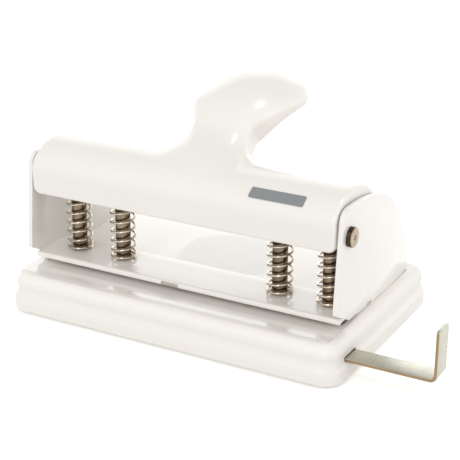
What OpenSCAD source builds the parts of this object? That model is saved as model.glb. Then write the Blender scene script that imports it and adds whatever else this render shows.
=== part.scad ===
// Four-hole paper punch: moulded base, painted sheet-metal frame, cast lever.
// X runs along the punch, -Y is the side the paper enters, +Z is up.
// The origin is on the table under the punch line, at mid length.

/* [Hole pattern] */
// Diameter of the punched holes
hole_d = 6; // [5.5:0.1:6]
// Distance between the two inner holes
inner_span = 70; // [66:1:72]
// Distance between the two holes of a pair
pair_gap = 21; // [19:1:22]
// Distance of the middle of the pattern from mid length
pattern_offset = 2; // [0:0.5:2]
// Distance from the punch line to the paper stop
paper_margin = 12; // [11:0.5:13]

/* [Base] */
// Overall length of the moulded base
base_len = 144.4; // [144:0.1:150]
// How far the base reaches in front of the punch line
base_front = 29.3; // [28:0.1:34]
// How far the base reaches behind the punch line
base_rear = 63.3; // [62:0.1:70]
// Height of the base plate's upper face above the table
base_h = 16; // [16:0.1:17]

/* [Frame] */
// Overall width across the two side plates
frame_w = 136.2; // [136:0.1:140]
// Thickness of the frame's sheet
sheet_t = 1.8; // [1.6:0.1:2]
// Height of the face that the springs stand on
seat_z = 20; // [19.8:0.1:20.4]
// Height of the side plates above the table
plate_top = 62.5; // [62.3:0.1:63]

/* [Lever] */
// Distance of the pivot in front of the punch line
pivot_back = 7.4; // [7.2:0.1:7.6]
// Height of the pivot above the table
pivot_z = 51.5; // [51:0.1:52]
// Angle the lever swings through
lever_swing = 30; // [20:1:30]
// Distance from the pivot to the middle of the presser bar
press_arm = 7.6; // [7.4:0.1:7.8]
// Radius of the cover's curve
cover_r = 24; // [23:0.5:25]
// Half width of the palm rest
palm_w = 22.2; // [18:0.1:24]

/* [Springs] */
// Outside diameter of a return spring
spring_d = 10.5; // [9.5:0.1:10.5]
// Thickness of the spring wire
wire_d = 1; // [0.8:0.05:1.1]
// Number of turns of a spring
spring_turns = 8; // [6:0.5:9]

/* [Paper guide] */
// Width of the guide strip
strip_w = 9.5; // [8:0.5:11]
// Thickness of the guide strip
strip_t = 1.2; // [0.8:0.1:1.3]
// Place of the guide's upright along the punch
strip_end = 107.8; // [90:0.1:110]
// Height of the guide's upright above the table
upright_top = 27.9; // [20:0.5:30]

/* [Hidden] */

$fn = 48;
eps = 0.01;
big = 400;
fit = 0.05;

white = [0.93, 0.92, 0.89];
steel = [0.72, 0.70, 0.66];
bronze = [0.55, 0.47, 0.38];

// Hole pattern, from left to right
pin_x = [
    pattern_offset - inner_span / 2 - pair_gap,
    pattern_offset - inner_span / 2,
    pattern_offset + inner_span / 2,
    pattern_offset + inner_span / 2 + pair_gap
];
pin_r = hole_d / 2;

// Base
base_rim = 0.8;
base_shift = 2;
corner_r = 8;
heel_r = 1;
bulge_r = 2.6;
bulge_z = base_rim + 4.4;
shoulder_r = 4.2;
shoulder_in = 5.4;
hollow_r = 4.5;
floor_t = 2.2;
ceiling_z = 11;
cavity_x = 66;
cavity_front = -21;
cavity_rear = 55;
hatch_x = 50;
hatch_front = -16;
hatch_rear = 47;
foot_x = 62;
foot_y = [-24, 56];
foot_w = 5;
foot_depth = 1.4;
screw_hole_r = 1.52;
rivet_x = [-42, 28];
rivet_y = paper_margin + 3.3;
rivet_r = 1.2;

// Plates inside the base
base_sheet = 1.6;
plate_front = -22;
plate_rear = 52;
die_front = -7;
die_rear = 7;
die_t = 3;
die_x = 64.4;
die_screw_x = [-12, 15];

// Frame
half_w = frame_w / 2;
inner_x = half_w - sheet_t;
mid_w = half_w - sheet_t / 2;
crown_y = -5;
crown_r = 90;
back_r = 41;
tail_r = 70;
crown_slope = 15;
back_slope = 60;
front_lean = 0.094;
front_low = [-16.4, 23.4];
mouth_y = -4.8;
slit_h = 1.4;
slit_end = paper_margin + 3;
slit_round = 0.1;
stop_h = 1.8;
stop_t = 1.2;
stop_foot_t = 0.5;
top_corner_r = 5;
lip_y = -12;
lip_drop = 0.3;
lip_t = 1.4;
guide_rear = 8.5;
tab_y = [20, 38];
tab_w = 7;

// Lever
pivot_y = -pivot_back;
pivot_r = 2.5;
head_r = 3.8;
head_t = 2.1;
cover_x = 65.5;
cover_t = 2.4;
cover_cy = 2.5;
cover_cz = 42.7;
nose_r = 7;
skirt_low = [-14.35, 46.4];
skirt_high = [-15.2, 57.2];
rear_angle = 36;
end_t = 2;
boss_r = 4.2;
bar_r = 2.5;
bar_y = pivot_y + press_arm * cos(lever_swing / 2);
bar_z = pivot_z + press_arm * sin(lever_swing / 2);
rib_x = [-44, 2, 47.5];
rib_t = 2.5;
label_x = [29.7, 51.7];
label_angle = [118, 128.8];

// Punch pins
pin_top = bar_z - bar_r - 0.02;
pin_tip = seat_z - sheet_t + 0.2;
clip_z = 46.7;
clip_t = 0.7;
neck_r = pin_r - 0.6;

// Paper guide
strip_z = 7.8;
strip_y = -18.9;
slot_gap = 0.5;
strip_in = -25;
channel_in = 5;
guide_rivet_x = strip_in + 5;

// Lid hinge
hinge_y = 45.2;
hinge_z = 2.4;
hinge_r = 1.5;
hinge_pin_r = 0.8;
ear_x = [-38, 0, 38];
ear_w = 8;

function arc(c, r, a0, a1, n) =
    [for (i = [0 : n]) c + r * [cos(a0 + (a1 - a0) * i / n), sin(a0 + (a1 - a0) * i / n)]];

// Extrudes a drawing of the YZ plane along X, from x0 to x1
module along_x(x0, x1) {
    translate([x0, 0, 0]) rotate([90, 0, 90]) linear_extrude(x1 - x0) children();
}

module box(a, b) {
    translate(a) cube(b - a);
}

// ---------- base ----------

// Point at distance ra from a and rb from b, on the right of the line from a to b
function meet(a, ra, b, rb) =
    let (d = norm(b - a), u = (b - a) / d, along = (d * d + ra * ra - rb * rb) / (2 * d))
    a + along * u + sqrt(ra * ra - along * along) * [u[1], -u[0]];

// Side of the base from its middle (x = 0) out to reach: upright heel, bulge, hollow, rounded shoulder
module base_side(reach) {
    bulge = [reach - bulge_r, bulge_z];
    shoulder = [reach - shoulder_in, base_h - shoulder_r];
    hollow = meet(bulge, bulge_r + hollow_r, shoulder, shoulder_r + hollow_r);
    intersection() {
        difference() {
            union() {
                translate([reach - heel_r, base_rim + heel_r]) circle(heel_r);
                translate(bulge) circle(bulge_r);
                translate(shoulder) circle(shoulder_r);
                polygon([
                    [0, base_rim], [reach - heel_r, base_rim], [reach, base_rim + heel_r],
                    [reach, bulge_z], bulge, hollow,
                    shoulder, [shoulder[0], base_h], [0, base_h]
                ]);
            }
            translate(hollow) circle(hollow_r, $fn = 96);
        }
        translate([0, base_rim]) square([reach, base_h - base_rim]);
    }
}

module base_run(half) {
    base_side(half);
    mirror([1, 0]) base_side(half);
}

module base_outer() {
    cy = (base_rear - base_front) / 2;
    hx = base_len / 2;
    hy = (base_rear + base_front) / 2;
    translate([base_shift, cy, 0]) {
        for (sx = [-1, 1], sy = [-1, 1])
            translate([sx * (hx - corner_r), sy * (hy - corner_r), 0])
                rotate_extrude($fn = 64) base_side(corner_r);
        rotate([90, 0, 0])
            translate([0, 0, -(hy - corner_r)]) linear_extrude(2 * (hy - corner_r)) base_run(hx);
        rotate([90, 0, 90])
            translate([0, 0, -(hx - corner_r)]) linear_extrude(2 * (hx - corner_r)) base_run(hy);
    }
}

// Rounded ring that runs round the underside, made smaller all round by gap
module foot_ring(h, gap) {
    linear_extrude(h) difference() {
        rounded_frame(foot_x - gap, foot_y[0] + gap, foot_y[1] - gap, 6 - gap);
        rounded_frame(foot_x - foot_w + gap, foot_y[0] + foot_w - gap, foot_y[1] - foot_w + gap, 1 + gap);
    }
}

module rounded_frame(x, y0, y1, r) {
    union() {
        translate([-x + r, y0]) square([2 * (x - r), y1 - y0]);
        translate([-x, y0 + r]) square([2 * x, y1 - y0 - 2 * r]);
        for (s = [-1, 1], y = [y0 + r, y1 - r]) translate([s * (x - r), y]) circle(r);
    }
}

module screw_places() {
    for (x = [-56, 56], y = [22, 44]) translate([x, y, 0]) children();
}

module base_body() {
    color(white) {
        difference() {
            base_outer();
            box([-cavity_x, cavity_front, base_rim + floor_t], [cavity_x, cavity_rear, ceiling_z]);
            box([-hatch_x, hatch_front, -1], [hatch_x, hatch_rear, base_rim + floor_t + 1]);
            box([-half_w - fit, plate_front - fit, base_h - base_sheet],
                [half_w + fit, plate_rear + fit, base_h + 1]);
            box([pattern_offset - die_x, die_front - fit, base_h - die_t],
                [pattern_offset + die_x, die_rear + fit, base_h]);
            for (x = pin_x) translate([x, 0, ceiling_z - 1]) cylinder(h = 5, r = pin_r + 1);
            for (x = die_screw_x) translate([x, 0, ceiling_z - 1]) cylinder(h = 5, r = screw_hole_r);
            screw_places() translate([0, 0, ceiling_z - 1]) cylinder(h = 6, r = screw_hole_r);
            translate([0, 0, -1]) foot_ring(1 + base_rim + foot_depth, 0);
            box([cavity_x - 1, strip_y - 0.2, strip_z - 0.1],
                [base_len, strip_y + strip_w + slot_gap, strip_z + strip_t + slot_gap]);
        }
        // Channel that guides the strip
        difference() {
            box([channel_in, strip_y - 2, strip_z - 2.4], [cavity_x, strip_y + strip_w + 1.7, ceiling_z]);
            box([channel_in - 1, strip_y - 0.2, strip_z - 0.1],
                [cavity_x + 1, strip_y + strip_w + 0.2, strip_z + strip_t + 0.15]);
            box([channel_in + 10, strip_y + 2, strip_z - 1.5],
                [channel_in + 40, strip_y + strip_w - 2, strip_z]);
        }
        // Ears of the lid's hinge
        for (x = ear_x) difference() {
            union() {
                along_x(x - ear_w / 2, x + ear_w / 2) translate([hinge_y, hinge_z]) circle(hinge_r);
                box([x - ear_w / 2, hinge_y, hinge_z - hinge_r],
                    [x + ear_w / 2, hatch_rear + 1, hinge_z + hinge_r]);
            }
            along_x(x - ear_w, x + ear_w) translate([hinge_y, hinge_z]) circle(hinge_pin_r);
        }
    }
}

module base_plate() {
    z0 = base_h - base_sheet;
    color(white) difference() {
        box([-half_w, plate_front, z0], [half_w, plate_rear, base_h]);
        box([pattern_offset - die_x, die_front - fit, z0 - 1],
            [pattern_offset + die_x, die_rear + fit, base_h + 1]);
        for (s = [-1, 1], y = tab_y)
            box([s * mid_w - sheet_t / 2 - 0.03, y - 0.1, z0 - 1],
                [s * mid_w + sheet_t / 2 + 0.03, y + tab_w + 0.1, base_h + 1]);
        screw_places() translate([0, 0, z0 - 1]) cylinder(h = 2, r = screw_hole_r);
        for (x = rivet_x) translate([x, rivet_y, z0 - 1]) cylinder(h = 4, r = rivet_r);
    }
}

module die_plate() {
    z0 = base_h - die_t;
    color(steel) difference() {
        box([pattern_offset - die_x + fit, die_front, z0],
            [pattern_offset + die_x - fit, die_rear, base_h]);
        for (x = pin_x) translate([x, 0, z0 - 1]) cylinder(h = die_t + 2, r = pin_r + fit);
        for (x = die_screw_x) translate([x, 0, z0 - 1]) {
            cylinder(h = die_t + 2, r = screw_hole_r);
            translate([0, 0, die_t - 0.5]) cylinder(h = 1.5 + eps, r1 = 1.5, r2 = 3);
        }
    }
}

module die_screws() {
    color(steel) for (x = die_screw_x) translate([x, 0, 0]) {
        translate([0, 0, ceiling_z + 0.2]) cylinder(h = base_h - ceiling_z - 0.4, r = 1.5);
        translate([0, 0, base_h - 1.5]) difference() {
            cylinder(h = 1.45, r1 = 1.45, r2 = 2.9);
            box([-2, -0.4, 0.8], [2, 0.4, 2]);
        }
    }
}

module frame_screws() {
    color(steel) screw_places() difference() {
        union() {
            translate([0, 0, ceiling_z - 2]) cylinder(h = 2, r = 3);
            translate([0, 0, ceiling_z - eps]) cylinder(h = base_h - 0.7 - ceiling_z, r = 1.5);
        }
        box([-2.2, -0.4, ceiling_z - 3], [2.2, 0.4, ceiling_z - 1]);
        box([-0.4, -2.2, ceiling_z - 3], [0.4, 2.2, ceiling_z - 1]);
    }
}

module rubber_foot() {
    color([0.2, 0.2, 0.2]) foot_ring(base_rim + foot_depth, 0.1);
}

module chip_lid() {
    gap = 0.3;
    top = base_rim + floor_t - 0.3;
    color(white) difference() {
        union() {
            box([-hatch_x + gap, hatch_front + gap, base_rim + 0.1], [hatch_x - gap, hinge_y, top]);
            along_x(-45, 45) translate([hinge_y, hinge_z]) circle(hinge_r);
            // Pull tab
            box([-9, hatch_front + gap, top - eps], [9, hatch_front + gap + 1.5, top + 1.2]);
        }
        for (x = ear_x)
            box([x - ear_w / 2 - gap, hinge_y - hinge_r - gap, -1], [x + ear_w / 2 + gap, hinge_y + 3, 6]);
        along_x(-50, 50) translate([hinge_y, hinge_z]) circle(hinge_pin_r + fit);
        // Finger recess
        translate([0, hatch_front, base_rim]) cylinder(h = 2, r = 7, center = true);
    }
}

module lid_hinge_pin() {
    color(steel) along_x(-46, 46) translate([hinge_y, hinge_z]) circle(hinge_pin_r);
}

// ---------- frame ----------

function front_y(z) = front_low[0] + front_lean * (z - front_low[1]);

// Side plate: leaning front edge, rounded top corner, flat crown, rear curve, slanted mouth and slit
module side_outline() {
    lean = atan(front_lean);
    crown = [crown_y, plate_top - crown_r];
    back = crown + (crown_r - back_r) * [sin(crown_slope), cos(crown_slope)];
    tail = back + (back_r - tail_r) * [sin(back_slope), cos(back_slope)];
    // The corner circle touches the front edge and the inside of the crown
    corner = [for (z = [50 : 0.05 : 62]) let (y = front_y(z) + top_corner_r / cos(lean))
              if (norm([y, z] - crown) <= crown_r - top_corner_r) [y, z]];
    c = corner[len(corner) - 1];
    touch = atan2(c[1] - crown[1], c[0] - crown[0]);
    difference() {
        polygon(concat(
            [front_low],
            arc(c, top_corner_r, 180 - lean, touch, 12),
            arc(crown, crown_r, touch, 90 - crown_slope, 10),
            arc(back, back_r, 90 - crown_slope, 90 - back_slope, 24),
            arc(tail, tail_r, 90 - back_slope, asin((base_h - tail[1]) / tail_r), 12),
            [[slit_end, base_h], [slit_end, base_h + slit_h], [mouth_y, base_h + slit_h]]
        ));
        translate([slit_end, base_h + slit_h / 2]) circle(slit_h / 2 + slit_round, $fn = 24);
    }
    for (y = tab_y) translate([y, base_h - base_sheet]) square([tab_w, base_sheet + eps]);
}

module frame() {
    color(white) difference() {
        union() {
            for (s = [-1, 1])
                along_x(s * mid_w - sheet_t / 2, s * mid_w + sheet_t / 2) side_outline();
            // Guide plate with a rolled front lip
            along_x(-inner_x - eps, inner_x + eps) union() {
                translate([lip_y + 1, seat_z - sheet_t]) square([guide_rear - lip_y - 1, sheet_t]);
                translate([lip_y + 1, seat_z - 1]) circle(1, $fn = 32);
                translate([lip_y, seat_z - sheet_t - lip_drop]) square([lip_t, sheet_t + lip_drop - 1]);
            }
        }
        for (x = pin_x) translate([x, 0, seat_z - 3]) cylinder(h = 4, r = pin_r + fit);
        along_x(-big, big) translate([pivot_y, pivot_z]) circle(pivot_r + 0.01);
        // Centre mark in the lip
        box([-8.4, lip_y - 1, seat_z - 3], [-0.8, lip_y + 0.7, seat_z - 0.4]);
    }
}

// Upstand the sheets come to rest against, on a thin foot
module paper_stop() {
    x = 62;
    y = paper_margin;
    color(white) difference() {
        union() {
            box([-x, y, base_h], [x, y + stop_t, base_h + stop_h]);
            box([-x, y, base_h], [x, y + 6, base_h + stop_foot_t]);
        }
        for (x = rivet_x) translate([x, rivet_y, base_h - 1]) cylinder(h = 4, r = rivet_r);
    }
}

module stop_rivets() {
    head_z = base_h + stop_foot_t;
    color(steel) for (x = rivet_x) translate([x, rivet_y, 0]) {
        translate([0, 0, base_h - base_sheet])
            cylinder(h = stop_foot_t + base_sheet + eps, r = rivet_r);
        translate([0, 0, head_z]) cylinder(h = 0.6, r1 = 2.2, r2 = 1.8);
    }
}

// ---------- lever ----------

// Outside of the cover in the YZ plane, grown inwards by t
module cover_solid(t) {
    skirt_angle = atan2(skirt_high[1] - skirt_low[1], skirt_high[0] - skirt_low[0]);
    r = cover_r - t;
    // Nose circle that touches the skirt and the big curve
    nc = [for (z = [52 : 0.05 : 62]) let (y = skirt_low[0] + (z - skirt_low[1]) / tan(skirt_angle) + nose_r)
          if (norm([y - cover_cy, z - cover_cz]) <= cover_r - nose_r) [y, z]];
    c = nc[len(nc) - 1];
    a1 = atan2(c[1] - cover_cz, c[0] - cover_cy);
    polygon(concat(
        [[skirt_low[0] + t, skirt_low[1] - (t > 0 ? 30 : 0)]],
        arc(c, nose_r - t, 180, a1, 12),
        arc([cover_cy, cover_cz], r, a1, rear_angle, 32),
        t > 0 ? [[big, cover_cz + r * sin(rear_angle)], [big, skirt_low[1] - 30]] : []
    ));
}

// Handle: a bent loft of rounded sections from the cover's top to the palm rest
function bezier(p, t) =
    pow(1 - t, 3) * p[0] + 3 * pow(1 - t, 2) * t * p[1] + 3 * (1 - t) * t * t * p[2] + pow(t, 3) * p[3];
function bezier_dir(p, t) =
    let (d = pow(1 - t, 2) * (p[1] - p[0]) + 2 * (1 - t) * t * (p[2] - p[1]) + t * t * (p[3] - p[2]))
    d / norm(d);
function ease(a, b, t) = let (s = min(max(t, 0), 1)) a + (b - a) * s * s * (3 - 2 * s);
function power(v, e) = sign(v) * pow(abs(v), e);

spine = [[10, 56], [27.1, 74.5], [28, 83.6], [67.7, 86]];
waist = 0.34;
palm = 0.71;
palm_drop = 4.85;
palm_sweep = 7.5;
palm_t = 6.3;
crook = 4.2;

function handle_point(t, a) =
    let (p = bezier(spine, t), d = bezier_dir(spine, t),
         past = max(0, (t - palm) / (1 - palm)),
         grow = min(max((t - waist) / (palm - waist), 0), 1),
         close = sqrt(max(0, 1 - past * past)),
         w = close * (t < waist ? ease(16.8, 12.9, t / waist) : ease(12.9, palm_w, pow(grow, 0.68))),
         h = close * (t < waist ? ease(13.9, 7, t / waist) : ease(7, palm_t, grow)),
         // The inside of the bend is filled out
         fill = sin(a) < 0 ? crook * ease(0, 1, (t - 0.18) / 0.18) * ease(1, 0, (t - 0.36) / 0.28) : 0,
         blunt = ease(3.2, 2.37, grow),
         x = w * power(cos(a), 2 / blunt),
         side = grow * pow(x / palm_w, 2),
         n = (h + fill) * power(sin(a), 2 / blunt) - palm_drop * side,
         s = palm_sweep * side)
    [x, p[0] - d[1] * n + d[0] * s, p[1] + d[0] * n + d[1] * s];

module handle() {
    steps = 26;
    around = 28;
    last = 0.995;
    points = [for (i = [0 : steps], j = [0 : around - 1]) handle_point(last * i / steps, 360 * j / around)];
    sides = [for (i = [0 : steps - 1], j = [0 : around - 1]) let (k = (j + 1) % around)
        [i * around + j, i * around + k, (i + 1) * around + k, (i + 1) * around + j]];
    foot = [[for (j = [around - 1 : -1 : 0]) j]];
    tip = [[for (j = [0 : around - 1]) steps * around + j]];
    polyhedron(points, concat(foot, sides, tip), convexity = 6);
}

module lever() {
    color(white) difference() {
        union() {
            difference() {
                union() {
                    along_x(-cover_x, cover_x) cover_solid(0);
                    handle();
                }
                along_x(-cover_x + end_t, cover_x - end_t) cover_solid(cover_t);
                for (s = [-1, 1]) translate([s * cover_x, 0, skirt_low[1]]) rotate([0, 45, 0])
                    cube([2.4, 60, 2.4], center = true);
            }
            for (s = [-1, 1])
                along_x(s > 0 ? cover_x - end_t - 2.5 : -cover_x, s > 0 ? cover_x : end_t + 2.5 - cover_x)
                    translate([pivot_y, pivot_z]) circle(boss_r);
            for (x = rib_x) along_x(x - rib_t / 2, x + rib_t / 2) intersection() {
                cover_solid(0);
                union() {
                    translate([bar_y, bar_z]) circle(bar_r + 2);
                    translate([bar_y - 2.5, bar_z]) square([7, 20]);
                }
            }
        }
        along_x(-big, big) translate([pivot_y, pivot_z]) circle(pivot_r + fit);
        along_x(-cover_x + end_t, cover_x - end_t) translate([bar_y, bar_z]) circle(bar_r + 0.02);
    }
}

module presser_bar() {
    bar_x = cover_x - end_t - 0.05;
    color(steel) along_x(-bar_x, bar_x) translate([bar_y, bar_z]) circle(bar_r);
}

// Plain label that follows the cover's curve
module label_plate() {
    color([0.55, 0.56, 0.57]) along_x(label_x[0], label_x[1]) intersection() {
        difference() {
            translate([cover_cy, cover_cz]) circle(cover_r + 0.25, $fn = 128);
            translate([cover_cy, cover_cz]) circle(cover_r + 0.02, $fn = 128);
        }
        translate([cover_cy, cover_cz]) polygon([
            [0, 0],
            40 * [cos(label_angle[1]), sin(label_angle[1])],
            40 * [cos(label_angle[0]), sin(label_angle[0])]
        ]);
    }
}

module pivot_pin(s) {
    color(steel) mirror([s < 0 ? 1 : 0, 0, 0]) translate([0, pivot_y, pivot_z]) rotate([0, 90, 0]) {
        translate([0, 0, cover_x - end_t - 2.4])
            cylinder(h = half_w - cover_x + end_t + 2.4 + eps, r = pivot_r);
        translate([0, 0, half_w]) cylinder(h = head_t - 0.3, r = head_r);
        translate([0, 0, half_w + head_t - 0.3]) cylinder(h = 0.3, r1 = head_r, r2 = head_r - 0.3);
    }
}

module pivot_pin_left() {
    pivot_pin(-1);
}

module pivot_pin_right() {
    pivot_pin(1);
}

module pivot_washers() {
    gap = inner_x - cover_x;
    color([0.85, 0.84, 0.80]) for (s = [-1, 1]) translate([s * (cover_x + gap / 2), pivot_y, pivot_z])
        rotate([0, 90, 0]) difference() {
            cylinder(h = gap - 0.1, r = 4.4, center = true);
            cylinder(h = gap + 1, r = pivot_r + fit, center = true);
        }
}

// ---------- punching pins ----------

module punch_pin(i) {
    color(bronze) translate([pin_x[i], 0, 0]) difference() {
        union() {
            translate([0, 0, pin_tip]) cylinder(h = pin_top - pin_tip - 0.5, r = pin_r);
            translate([0, 0, pin_top - 0.5]) cylinder(h = 0.5, r1 = pin_r, r2 = pin_r - 0.5);
        }
        // Hollow cutting end
        translate([0, 0, pin_tip - 3]) rotate([0, 90, 0]) cylinder(h = 20, r = 4.2, center = true);
        // Groove for the retainer
        translate([0, 0, clip_z]) difference() {
            cylinder(h = clip_t, r = pin_r + 1);
            translate([0, 0, -1]) cylinder(h = clip_t + 2, r = neck_r);
        }
    }
}

module punch_pin_1() {
    punch_pin(0);
}

module punch_pin_2() {
    punch_pin(1);
}

module punch_pin_3() {
    punch_pin(2);
}

module punch_pin_4() {
    punch_pin(3);
}

module spring_retainer(i) {
    color(steel) translate([pin_x[i], 0, clip_z + 0.02]) difference() {
        cylinder(h = clip_t - 0.04, r = spring_d / 2 - 0.5);
        translate([0, 0, -1]) cylinder(h = 3, r = neck_r + 0.02);
        box([-neck_r + 0.1, 0, -1], [neck_r - 0.1, 20, 3]);
    }
}

module spring_retainer_1() {
    spring_retainer(0);
}

module spring_retainer_2() {
    spring_retainer(1);
}

module spring_retainer_3() {
    spring_retainer(2);
}

module spring_retainer_4() {
    spring_retainer(3);
}

// Helical spring with one closed turn at each end
module return_spring(i) {
    per_turn = 14;
    around = 6;
    steps = spring_turns * per_turn;
    r = (spring_d - wire_d) / 2;
    low = seat_z + wire_d / 2 + 0.02;
    high = clip_z - wire_d / 2 - 0.02;
    closed = wire_d * 1.08;
    open = (high - low - 2 * closed) / (spring_turns - 2);
    points = [for (k = [0 : steps], j = [0 : around - 1])
        let (t = k / per_turn,
             z = low + (t < 1 ? closed * t
                 : t > spring_turns - 1 ? high - low - closed * (spring_turns - t)
                 : closed + open * (t - 1)),
             a = 360 * t, b = 360 * j / around,
             q = r + wire_d / 2 * cos(b))
        [q * cos(a), q * sin(a), z + wire_d / 2 * sin(b)]];
    sides = [for (k = [0 : steps - 1], j = [0 : around - 1]) let (m = (j + 1) % around)
        [k * around + j, k * around + m, (k + 1) * around + m, (k + 1) * around + j]];
    start = [[for (j = [around - 1 : -1 : 0]) j]];
    end = [[for (j = [0 : around - 1]) steps * around + j]];
    color(steel) translate([pin_x[i], 0, 0]) polyhedron(points, concat(start, sides, end), convexity = 10);
}

module return_spring_1() {
    return_spring(0);
}

module return_spring_2() {
    return_spring(1);
}

module return_spring_3() {
    return_spring(2);
}

module return_spring_4() {
    return_spring(3);
}

// ---------- paper guide ----------

module paper_guide() {
    bend = 2.8;
    color(steel) translate([0, strip_y + strip_w, 0]) rotate([90, 0, 0]) linear_extrude(strip_w)
        difference() {
            union() {
                translate([strip_in, strip_z]) square([strip_end - bend - strip_in, strip_t]);
                translate([strip_end - strip_t, strip_z + bend])
                    square([strip_t, upright_top - strip_z - bend]);
                intersection() {
                    translate([strip_end - bend, strip_z + bend]) difference() {
                        circle(bend);
                        circle(bend - strip_t);
                    }
                    translate([strip_end - bend, strip_z]) square([bend, bend]);
                }
            }
            translate([guide_rivet_x - 1, strip_z - 1]) square([2, strip_t + 2]);
        }
    color(steel) difference() {
        box([guide_rivet_x - 1, strip_y, strip_z],
            [guide_rivet_x + 1, strip_y + strip_w, strip_z + strip_t]);
        translate([guide_rivet_x, strip_y + strip_w / 2, strip_z - 1]) cylinder(h = strip_t + 2, r = 0.9);
    }
}

module guide_rivet() {
    color(steel) translate([guide_rivet_x, strip_y + strip_w / 2, 0]) {
        translate([0, 0, strip_z - 0.7]) cylinder(h = 0.7, r = 2);
        translate([0, 0, strip_z - eps]) cylinder(h = strip_t + 2 * eps, r = 0.88);
        translate([0, 0, strip_z + strip_t]) cylinder(h = 0.6, r = 2);
    }
}

// Bowed leaf that presses on the strip
module guide_spring() {
    x0 = channel_in + 11;
    x1 = channel_in + 39;
    rise = 1;
    half = (x1 - x0) / 2;
    r = (half * half + rise * rise) / (2 * rise);
    mid = [(x0 + x1) / 2, strip_z - 0.05 - 0.4 - rise];
    a = asin(half / r);
    color(steel) translate([0, strip_y + strip_w - 2.4, 0]) rotate([90, 0, 0]) linear_extrude(strip_w - 4.8)
        polygon(concat(
            arc(mid + [0, rise - r], r, 90 + a, 90 - a, 16),
            arc(mid + [0, rise - r], r + 0.4, 90 - a, 90 + a, 16)
        ));
}

base_body();
base_plate();
die_plate();
die_screws();
frame_screws();
rubber_foot();
chip_lid();
lid_hinge_pin();
frame();
paper_stop();
stop_rivets();
lever();
presser_bar();
label_plate();
pivot_pin_left();
pivot_pin_right();
pivot_washers();
punch_pin_1();
punch_pin_2();
punch_pin_3();
punch_pin_4();
spring_retainer_1();
spring_retainer_2();
spring_retainer_3();
spring_retainer_4();
return_spring_1();
return_spring_2();
return_spring_3();
return_spring_4();
paper_guide();
guide_rivet();
guide_spring();
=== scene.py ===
"""Looks for a four-hole paper punch: cast white lever, painted sheet frame, moulded base."""
import math

import bmesh
import bpy
import numpy as np
from mathutils import Matrix, Vector


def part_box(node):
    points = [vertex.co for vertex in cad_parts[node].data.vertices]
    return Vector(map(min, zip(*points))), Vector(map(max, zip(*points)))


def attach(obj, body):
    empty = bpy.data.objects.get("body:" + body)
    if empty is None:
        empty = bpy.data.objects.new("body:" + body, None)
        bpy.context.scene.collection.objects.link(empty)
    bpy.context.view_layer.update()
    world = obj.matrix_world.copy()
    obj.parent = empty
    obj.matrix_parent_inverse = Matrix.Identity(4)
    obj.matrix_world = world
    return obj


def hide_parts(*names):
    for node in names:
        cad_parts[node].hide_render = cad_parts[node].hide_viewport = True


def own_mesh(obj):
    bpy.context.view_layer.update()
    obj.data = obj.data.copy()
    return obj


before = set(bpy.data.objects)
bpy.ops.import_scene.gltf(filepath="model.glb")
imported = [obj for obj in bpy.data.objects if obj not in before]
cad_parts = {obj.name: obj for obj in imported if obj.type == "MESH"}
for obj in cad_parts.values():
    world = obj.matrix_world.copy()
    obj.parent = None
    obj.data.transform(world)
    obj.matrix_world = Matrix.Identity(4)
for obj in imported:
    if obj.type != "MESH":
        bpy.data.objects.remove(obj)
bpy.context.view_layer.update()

MM = 0.001


def node_box(name):
    """Lowest and highest corner of a CAD node, in millimetres."""
    low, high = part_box(name)
    return np.array(low) / MM, np.array(high) / MM


# ---------------------------------------------------------------- places, from the frame
base_top = node_box("base_plate")[1][2]
frame_lo, frame_hi = node_box("frame")
lever_lo, lever_hi = node_box("lever")
bar_lo, bar_hi = node_box("presser_bar")
strip_lo, strip_hi = node_box("paper_guide")
label_lo, label_hi = node_box("label_plate")
stop_lo = node_box("paper_stop")[0]
spring_boxes = [node_box(f"return_spring_{i}") for i in (1, 2, 3, 4)]
pin_x = [sum(node_box(f"punch_pin_{i}"))[0] / 2 for i in (1, 2, 3, 4)]
pivot_y, pivot_z = sum(node_box("pivot_pin_right"))[1:] / 2


# ---------------------------------------------------------------- mesh helpers
def in_scene(name, data):
    ob = bpy.data.objects.new(name, data)
    bpy.context.scene.collection.objects.link(ob)
    return ob


def add_piece(name, mesh, material, sharp_deg, body, node=None):
    """A finished piece that rides on a body and stands for a CAD node, if one is named."""
    mesh.materials.clear()
    mesh.materials.append(material)
    mesh.shade_smooth()
    # Large flat faces are shaded flat
    for face in mesh.polygons:
        if len(face.vertices) > 12:
            face.use_smooth = False
    mesh.set_sharp_from_angle(angle=math.radians(sharp_deg))
    ob = in_scene(name, mesh)
    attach(ob, body)
    if node:
        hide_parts(node)
    return ob


def mesh_from(name, points, faces):
    """A mesh whose points are given in millimetres."""
    mesh = bpy.data.meshes.new(name)
    mesh.from_pydata([(p[0] * MM, p[1] * MM, p[2] * MM) for p in points], [], faces)
    mesh.validate()
    bm = bmesh.new()
    bm.from_mesh(mesh)
    bmesh.ops.recalc_face_normals(bm, faces=bm.faces)
    bm.to_mesh(mesh)
    bm.free()
    return mesh


def bevel(bm, edges, r, segments):
    bmesh.ops.bevel(bm, geom=edges, offset=r * MM, segments=segments, profile=0.5,
                    affect="EDGES", clamp_overlap=True)


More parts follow.
